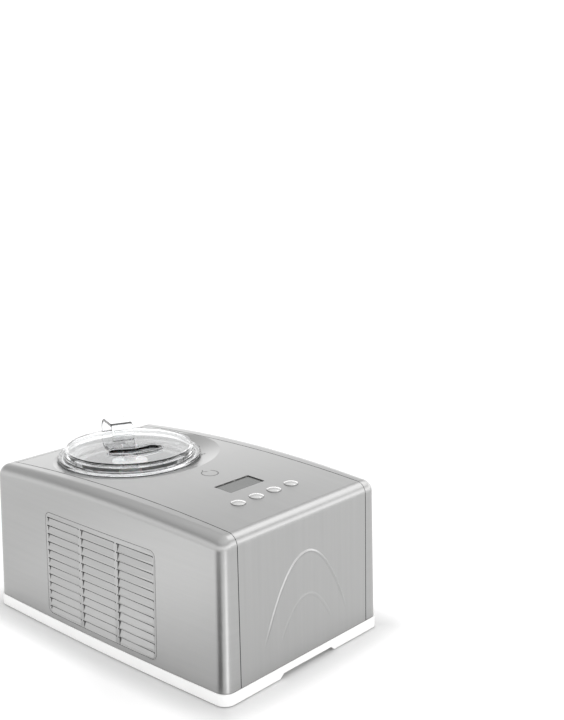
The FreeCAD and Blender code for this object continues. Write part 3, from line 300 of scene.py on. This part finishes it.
# Colour, roughness, fine brushing, broad bands and, where it isn't the usual one, contrast
METALS = {
    "collar_steel": ((0.60, 0.60, 0.597), 0.20,
                     stretched("Z", 3000.0, 500.0), stretched("Z", 400.0, 40.0), 0.04),
    "well_aluminium": (grey(0.90), 0.5,
                       stretched("Z", 3000.0, 30.0), stretched("Z", 260.0, 8.0), 0.04),
    "jacket_aluminium": (grey(0.7), 0.4, stretched("Z", 2000.0, 60.0), stretched("Z", 90.0, 30.0)),
    "bowl_aluminium": (grey(0.585), 0.43,
                       stretched("Z", 2600.0, 14.0), stretched("Z", 240.0, 6.0), 0.02),
    "fin_aluminium": ((0.75, 0.76, 0.77), 0.35, stretched("XZ", 800.0, 60.0), even(60.0)),
    "bush_brass": ((0.62, 0.42, 0.16), 0.3, stretched("Z", 2500.0, 200.0), even(60.0)),
    "shaft_steel": ((0.66, 0.66, 0.65), 0.2, stretched("Z", 2500.0, 300.0), even(60.0)),
    "motor_steel": ((0.52, 0.52, 0.53), 0.35, stretched("Z", 900.0, 200.0), even(50.0)),
    "zinc_steel": ((0.58, 0.6, 0.62), 0.4, even(300.0), even(90.0), 0.1),
    "screw_steel": (grey(0.6), 0.3, even(700.0), even(120.0)),
    "bail_steel": (grey(0.17), 0.26, even(700.0), even(90.0)),
    "button_silver": ((0.60, 0.60, 0.597), 0.20, even(900.0), even(120.0), 0.04),
    "copper": ((0.72, 0.33, 0.17), 0.3, even(500.0), even(60.0), 0.14),
    "pin_brass": ((0.66, 0.5, 0.24), 0.25, even(300.0), even(80.0)),
}
MOULDINGS = {
    "white_base": dict(colour=(0.90, 0.90, 0.895), rough=0.35, contrast=0.015, Coat_Weight=0.1),
    "foot_rubber": dict(colour=grey(0.03), rough=0.75, grain=1200.0, depth=0.00003),
    "black_rubber": dict(colour=grey(0.025), rough=0.7, grain=1200.0, depth=0.00002),
    "dark_plastic": dict(colour=(0.035, 0.035, 0.038), rough=0.45, grain=1100.0, depth=0.00002),
    "inlet_black": dict(colour=(0.025, 0.025, 0.026), rough=0.4, grain=1000.0, depth=0.00002),
    "compressor_black": dict(colour=(0.02, 0.02, 0.021), rough=0.3, grain=600.0, depth=0.00003,
                             Coat_Weight=0.3),
    "component_black": dict(colour=(0.03, 0.03, 0.032), rough=0.5),
    "gear_plastic": dict(colour=(0.70, 0.68, 0.60), rough=0.4),
    "post_plastic": dict(colour=(0.72, 0.72, 0.70), rough=0.45),
    "foam": dict(colour=(0.78, 0.70, 0.47), rough=0.85, grain=420.0, depth=0.0002, contrast=0.12),
}
# The last entry is the reach of the painted shade in seams and slots.
HOUSING_STEEL = dict(colour=(0.388, 0.388, 0.386), rough=0.31, contrast=0.035, painted_shade_reach=0.003)


def housing_steel(name, axis):
    """Sheet whose brushing runs square to the axis."""
    return brushed(name, fine=stretched(axis, 2600.0, 9.0), broad=stretched(axis, 190.0, 5.0),
                   **HOUSING_STEEL)


looks = {slot: brushed(slot, *values) for slot, values in METALS.items()}
looks.update({slot: moulded(slot, **values) for slot, values in MOULDINGS.items()})
looks.update({
    "steel_housing": housing_steel("steel_cover", "X"),
    "board_green": circuit("board_green"),
    "display_lens": liquid_crystal("display_lens"),
    "tube_white": milky("tube_white", (0.66, 0.66, 0.655), 0.35),
    "paddle_white": milky("paddle_white", grey(0.60), 0.35),
    "lid_clear": clear("lid_clear", (0.97, 0.975, 0.98), 0.03),
})
side_steel = housing_steel("steel_side", "Z")
ink = moulded("mark_ink", grey(0.13), 0.5)
# Near-black material for the strips and dots of painted shade.
painted_shade_black = moulded("painted_shade_material", grey(0.022), 0.75, grain=1200.0)

for subpart in frame["record"]["subparts"]:
    material = looks[subpart["material_slot"]]
    if subpart["node"].startswith(("left_", "right_")):
        material = side_steel
    mesh = nodes[subpart["node"]].data
    mesh.materials.clear()
    mesh.materials.append(material)


# ---- Thin trim and marks, which ride on the housing

FAR = 1.0                          # farther out than any piece
WELD = 0.000001
BACKING = 0.0003                   # depth of a thin piece under its face
CREASE = math.radians(40.0)        # a sharper bend than this shows as an edge
INSIDE = Vector((0.0, 0.0, 0.09))  # a point in the housing, from which thin pieces face away


def skin(name):
    """A node's mesh, to cast rays at."""
    mesh = nodes[name].data
    return BVHTree.FromPolygons([v.co for v in mesh.vertices], [p.vertices for p in mesh.polygons])


PANELS = {"left_louvre_panel": -1.0, "right_louvre_panel": 1.0}
skins = {name: skin(name) for name in ("top_front_cover", *PANELS)}


def on_front(x, z):
    """Point of the front sheet at x and z, and its outward direction."""
    return skins["top_front_cover"].ray_cast(Vector((x, -FAR, z)), Vector((0.0, 1.0, 0.0)))[:2]


def on_top(x, y):
    """Point of the top sheet at x and y, and its outward direction."""
    return skins["top_front_cover"].ray_cast(Vector((x, y, FAR)), Vector((0.0, 0.0, -1.0)))[:2]


def on_panel(panel, y, z, proud):
    """Point at y and z that stands proud of a louvre panel."""
    side = PANELS[panel]
    point = skins[panel].ray_cast(Vector((side * FAR, y, z)), Vector((-side, 0.0, 0.0)))[0]
    return Vector((point.x + side * proud, point.y, point.z))


def surface(name, points, faces, material):
    """A thin closed piece that rides on the housing, its back let into what it lies on."""
    mesh = bpy.data.meshes.new(name)
    mesh.from_pydata(points, [], faces)
    shell = bmesh.new()
    shell.from_mesh(mesh)
    bmesh.ops.remove_doubles(shell, verts=shell.verts[:], dist=WELD)
    shell.normal_update()
    if sum(face.normal.dot(face.calc_center_median() - INSIDE) for face in shell.faces) < 0.0:
        bmesh.ops.reverse_faces(shell, faces=shell.faces[:])
        shell.normal_update()
    bmesh.ops.solidify(shell, geom=shell.faces[:], thickness=BACKING)
    shell.to_mesh(mesh)
    shell.free()
    mesh.materials.append(material)
    mesh.shade_smooth()
    mesh.set_sharp_from_angle(angle=CREASE)
    piece = bpy.data.objects.new(name, mesh)
    bpy.context.scene.collection.objects.link(piece)
    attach(piece, "housing")


def strip(name, lines, material):
    """A surface through lines of points."""
    count = len(lines[0])
    points = [point for line in lines for point in line]
    faces = []
    for i in range(len(lines) - 1):
        for j in range(count - 1):
            k = i * count + j
            faces.append((k, k + count, k + count + 1, k + 1))
    surface(name, points, faces, material)


def hump(steps):
    """Across a rounded ridge: places from -1 to 1, and heights from 0 at the edges to 1 between."""
    places = [2.0 * j / steps - 1.0 for j in range(steps + 1)]
    return [(place, math.cos(place * math.pi / 2.0) ** 2) for place in places]


def arch(name, crown, bend, half, wide, proud):
    """A pressed ridge on the front, z = crown - bend x^2, that fades out at both ends."""
    steps, steps_across = 72, 8
    end_share, sunk = 0.2, 0.00004
    lines = []
    for i in range(steps + 1):
        x = half * (2.0 * i / steps - 1.0)
        z = crown - bend * x * x
        slope = -2.0 * bend * x
        size = math.hypot(1.0, slope)
        fade = min(1.0, (1.0 - abs(x) / half) / end_share)
        fade = fade * fade * (3.0 - 2.0 * fade)
        line = []
        for place, height in hump(steps_across):
            shift = place * wide / 2.0
            point, normal = on_front(x - shift * slope / size, z + shift / size)
            line.append(point + normal * (proud * fade * height - sunk))
        lines.append(line)
    strip(name, lines, looks["steel_housing"])


def mark(name, path, wide):
    """A thin printed line on the top sheet, along points (x, y)."""
    proud = 0.00006
    lines = []
    for i, (x, y) in enumerate(path):
        x0, y0 = path[max(0, i - 1)]
        x1, y1 = path[min(len(path) - 1, i + 1)]
        size = math.hypot(x1 - x0, y1 - y0)
        line = []
        for shift in (-wide / 2.0, wide / 2.0):
            point, normal = on_top(x + shift * (y1 - y0) / size, y - shift * (x1 - x0) / size)
            line.append(point + normal * proud)
        lines.append(line)
    strip(name, lines, ink)


def ring(x, y, radius, start=0.0, end=360.0, steps=24):
    """Points of an arc about (x, y), from one angle to another in degrees."""
    angles = [math.radians(start + (end - start) * i / steps) for i in range(steps + 1)]
    return [(x + radius * math.cos(angle), y + radius * math.sin(angle)) for angle in angles]


def louvre_rim(panel):
    """The raised bead just inside a louvre panel's edge."""
    inset, wide, proud, sunk, corner = 0.0019, 0.0024, 0.0004, 0.00003, 0.0085
    corner_steps, steps_across = 12, 6
    low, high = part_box(panel)
    front, back = low.y + corner, high.y - corner
    bottom, top = low.z + corner, high.z - corner
    path = []
    for y, z, start in ((back, top, 0.0), (front, top, 90.0),
                        (front, bottom, 180.0), (back, bottom, 270.0)):
        path += [(y, z, math.radians(start + 90.0 * k / corner_steps))
                 for k in range(corner_steps + 1)]
    path.append(path[0])
    lines = []
    for y, z, angle in path:
        line = []
        for place, height in hump(steps_across):
            reach = corner - inset + place * wide / 2.0
            line.append(on_panel(panel, y + reach * math.cos(angle), z + reach * math.sin(angle),
                                 proud * height - sunk))
        lines.append(line)
    strip(panel + "_rim", lines, side_steel)


def slot_ends(panel):
    """Dark dots of painted shade at both ends of each louvre slot, where the relief holes are."""
    rows, pitch, under_edge = 12, 0.0107, 0.0069
    column_step, reach = 0.0665, 0.0310
    radius, corners, proud = 0.00095, 12, 0.00005
    low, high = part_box(panel)
    points, faces = [], []
    for row in range(rows):
        z = high.z - under_edge - row * pitch
        for column in (-1, 0, 1):
            for end in (-1, 1):
                y = (low.y + high.y) / 2.0 + column * column_step + end * reach
                faces.append(tuple(range(len(points), len(points) + corners)))
                for k in range(corners):
                    angle = PANELS[panel] * 2.0 * math.pi * k / corners
                    points.append(on_panel(panel, y + radius * math.cos(angle),
                                           z + radius * math.sin(angle), proud))
    # Painted shade: flat dark dots on the panel.
    surface(panel + "_slot_ends", points, faces, painted_shade_black)


def seam(name, side):
    """A dark strip of painted shade in the seam between the centre sheet and a side shell, from
    front foot to back.
    """
    gap, lap = 0.0008, 0.0002
    lap_proud, edge_proud, middle_proud = 0.00003, 0.00008, 0.00004
    section = ((-lap, lap_proud), (0.0, edge_proud), (gap / 2.0, middle_proud),
               (gap, edge_proud), (gap + lap, lap_proud))
    hub_inset, hub_height = 0.0004, 0.06
    foot_margin, back_margin = 0.0005, 0.001
    steps, steepest = 160, 0.5
    low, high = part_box("top_front_cover")
    hub = Vector((side * (high.x - hub_inset), (low.y + high.y) / 2.0, hub_height))
    first = math.atan2(low.z + foot_margin - hub.z, low.y - hub.y) + 2.0 * math.pi
    last = math.atan2(high.z - hub.z, high.y - back_margin - hub.y)
    lines = []
    for i in range(steps + 1):
        angle = first + (last - first) * i / steps
        out = Vector((0.0, math.cos(angle), math.sin(angle)))
        point, normal = skins["top_front_cover"].ray_cast(hub + out * FAR, -out)[:2]
        if point is None or abs(normal.x) > steepest:
            continue
        lines.append([Vector((side * (high.x + across),
                              point.y + normal.y * proud, point.z + normal.z * proud))
                      for across, proud in section])
    strip(name, lines, painted_shade_black)


for panel in PANELS:
    louvre_rim(panel)
    slot_ends(panel)
# Dark strips of painted shade along both seams.
seam("painted_seam_shade_left", -1.0)
seam("painted_seam_shade_right", 1.0)
arch("front_arch_outer", crown=0.1422, bend=17.5, half=0.077, wide=0.0048, proud=0.0011)
arch("front_arch_inner", crown=0.0890, bend=21.5, half=0.047, wide=0.0060, proud=0.00045)

TURN_X, TURN_Y, TURN_RADIUS, TURN_LINE = 0.003, -0.050, 0.0105, 0.0014
TURN_HEAD = [(0.0012, 0.0145), (-0.0034, 0.0098), (0.0026, 0.0070)]   # from the arc's middle
mark("turn_mark_arc", ring(TURN_X, TURN_Y, TURN_RADIUS, 110.0, 400.0, 40), TURN_LINE)
mark("turn_mark_head", [(TURN_X + x, TURN_Y + y) for x, y in TURN_HEAD], TURN_LINE)
LOCK_RADIUS, LOCK_LINE = 0.0024, 0.0009
mark("lock_mark_open", ring(0.0845, 0.0560, LOCK_RADIUS), LOCK_LINE)
mark("lock_mark_shut", ring(0.0650, 0.0250, LOCK_RADIUS), LOCK_LINE)


# ---- Studio


def stage(name, low, high, height, material):
    """A flat rectangle of the studio, not of the object, between two corners (x, y)."""
    (left, front), (right, back) = low, high
    corners = [(left, front, height), (right, front, height),
               (right, back, height), (left, back, height)]
    mesh = bpy.data.meshes.new(name)
    mesh.from_pydata(corners, [], [(0, 1, 2, 3)])
    mesh.materials.append(material)
    piece = bpy.data.objects.new(name, mesh)
    bpy.context.scene.collection.objects.link(piece)
    return piece


def floor():
    """A wide pale floor that glows, with painted light: the glow drops beside the base, a painted
    contact shadow, and rises at the left, a painted pool of light.
    """
    reach, clouds_per_metre = 6.0, 4.0
    dark, light = grey(0.655), grey(0.665)
    glow, shade_share, shade_reach = 0.42, 0.1, 0.042
    pool, pool_glow, pool_near, pool_far = (-0.47, 0.12, 0.0), 0.50, 0.05, 0.34
    look = Look("floor_white", Roughness=0.7, Specular_IOR_Level=0.1,
                Emission_Color=(1.0, 1.0, 1.0, 1.0))
    cloud = look.spread(look.noise(even(clouds_per_metre)), 0.0, 1.0)
    look.drive("Base Color", look.ramp(cloud, [(0.0, dark), (1.0, light)]))
    low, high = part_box("base_tray")
    half = (high - low) / 2.0
    offset = look.vector("ABSOLUTE", look.vector("SUBTRACT", look.place, (low + high) / 2.0))
    beyond = look.vector("MAXIMUM", look.vector("SUBTRACT", offset, (half.x, half.y, FAR)))
    from_base = look.vector("LENGTH", beyond, output="Value")
    from_pool = look.vector("DISTANCE", look.place, pool, "Value")
    # Painted pool of light: more glow near the pool at the left.
    full = look.math("ADD", look.spread(from_pool, pool_glow, 0.0, pool_near, pool_far), glow)
    # Painted contact shadow: less glow close to the base.
    share = look.spread(from_base, shade_share, 1.0, 0.0, shade_reach)
    look.drive("Emission Strength", look.math("MULTIPLY", full, share))
    stage("floor", (-reach, -reach), (reach, reach), 0.0, look.material)


def corner_card():
    """A card on the floor that shows only in gloss: a dark and a bright sector about a corner."""
    corner = (-0.128, -0.198, 0.0)   # the front left corner's middle
    low, high, height = (-0.95, -0.95), (-0.05, 0.25), 0.002
    first, last = math.radians(-50.0), math.radians(110.0)
    dark, white, none = grey(0.03), grey(1.0), grey(0.0)
    fade_in, fade_out = (0.02, 0.05), (0.45, 0.75)
    look = Look("corner_sectors", Base_Color=(0.0, 0.0, 0.0, 1.0), Specular_IOR_Level=0.0,
                Emission_Strength=2.5)
    offset = look.vector("SUBTRACT", look.place, corner)
    turn = look.math("ARCTAN2", look.math("MULTIPLY", look.axis("Y", offset), -1.0),
                     look.math("MULTIPLY", look.axis("X", offset), -1.0))
    share = look.spread(turn, 0.0, 1.0, first, last)
    look.drive("Emission Color",
               look.ramp(share, [(0.0, dark), (0.5, dark), (0.64, white), (1.0, white)]))
    cover = look.ramp(share, [(0.14, none), (0.26, grey(0.85)), (0.43, grey(0.92)), (0.54, none),
                              (0.65, none), (0.71, white), (0.76, white), (0.84, none)])
    away = look.vector("LENGTH", offset, output="Value")
    fade = look.math("MULTIPLY", look.spread(away, 0.0, 1.0, *fade_in),
                     look.spread(away, 1.0, 0.0, *fade_out))
    look.drive("Alpha", look.math("MULTIPLY", cover, fade))
    piece = stage("corner_card", low, high, height, look.material)
    piece.visible_camera = False
    piece.visible_diffuse = False
    piece.visible_shadow = False


def softbox(name, place, aim, wide, high, power):
    """A rectangular studio light at place, facing aim, that shows only in gloss."""
    data = bpy.data.lights.new(name, "AREA")
    data.shape = "RECTANGLE"
    data.size = wide
    data.size_y = high
    data.energy = power
    light = bpy.data.objects.new(name, data)
    light.location = place
    light.visible_diffuse = False
    light.rotation_euler = (Vector(aim) - Vector(place)).to_track_quat("-Z", "Y").to_euler()
    bpy.context.scene.collection.objects.link(light)


def surround():
    """The studio around: white at the horizon, darker above, brightest at the front right."""
    # Sine of the elevation, and the grey there
    heights = [(0.0, 0.88), (0.22, 0.82), (0.36, 0.60), (0.45, 0.36),
               (0.54, 0.36), (0.66, 0.48), (0.78, 0.55), (1.0, 0.55)]
    bright_side, dim, bright, behind, ahead = (0.68, -0.73, 0.0), 1.7, 2.7, -0.8, 0.9
    world = bpy.data.worlds.new("studio")
    world.use_nodes = True
    graph = Graph(world.node_tree, "Generated")
    background = world.node_tree.nodes["Background"]
    tint = graph.ramp(graph.axis("Z"), [(height, grey(value)) for height, value in heights])
    graph.link(tint, background.inputs["Color"])
    facing = graph.vector("DOT_PRODUCT", graph.place, bright_side, "Value")
    graph.link(graph.spread(facing, dim, bright, behind, ahead), background.inputs["Strength"])
    bpy.context.scene.world = world


def photo_camera():
    """The camera fitted to the photograph."""
    data = bpy.data.cameras.new("camera")
    data.sensor_width = 36.0
    data.lens = 56.434
    camera = bpy.data.objects.new("camera", data)
    right = Vector((0.66567, -0.74621, -0.00680))
    up = Vector((0.16813, 0.14110, 0.97562))
    matrix = Matrix((right, up, right.cross(up))).transposed().to_4x4()
    matrix.translation = (-0.933335, -1.009469, 0.646731)
    camera.matrix_world = matrix
    bpy.context.scene.collection.objects.link(camera)
    bpy.context.scene.camera = camera


floor()
surround()
softbox("key", place=(1.12, -0.42, 1.25), aim=(0.0, -0.1, 0.15), wide=1.0, high=1.0, power=3.4)
corner_card()
photo_camera()
bpy.context.scene.view_settings.view_transform = "Standard"
